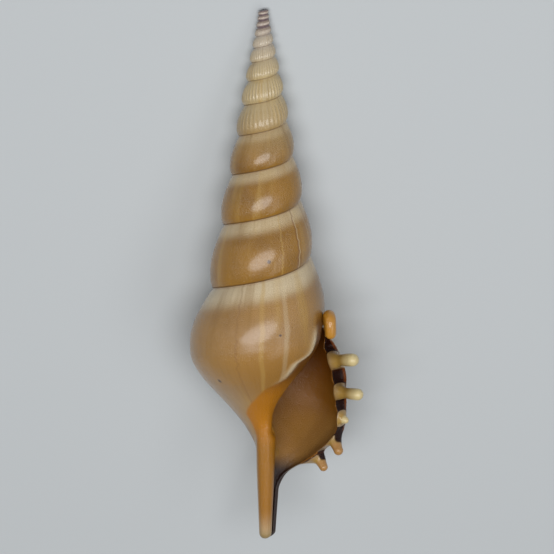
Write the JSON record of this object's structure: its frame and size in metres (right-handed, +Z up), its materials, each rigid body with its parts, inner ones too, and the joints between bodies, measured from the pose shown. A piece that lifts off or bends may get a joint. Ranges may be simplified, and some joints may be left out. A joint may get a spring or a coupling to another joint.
{
  "type": "tibia shell",
  "caption": "Long spindle-shaped tibia shell with a tall pointed spire, a fingered outer lip and a slender canal, lying mouth up.",
  "frame": {"origin": "centre of the shell's footprint, on the surface that it lies on", "axes": "+Y towards the pointed apex, +Z up out of the mouth side, +X towards the lip with its fingers"},
  "size_m": [0.0478, 0.1468, 0.0363],
  "materials": {
    "shell": "polished shell, golden brown with a cream lip and dark brown notches"
  },
  "bodies": {
    "root": {"shell": "shell"}
  },
  "joints": []
}
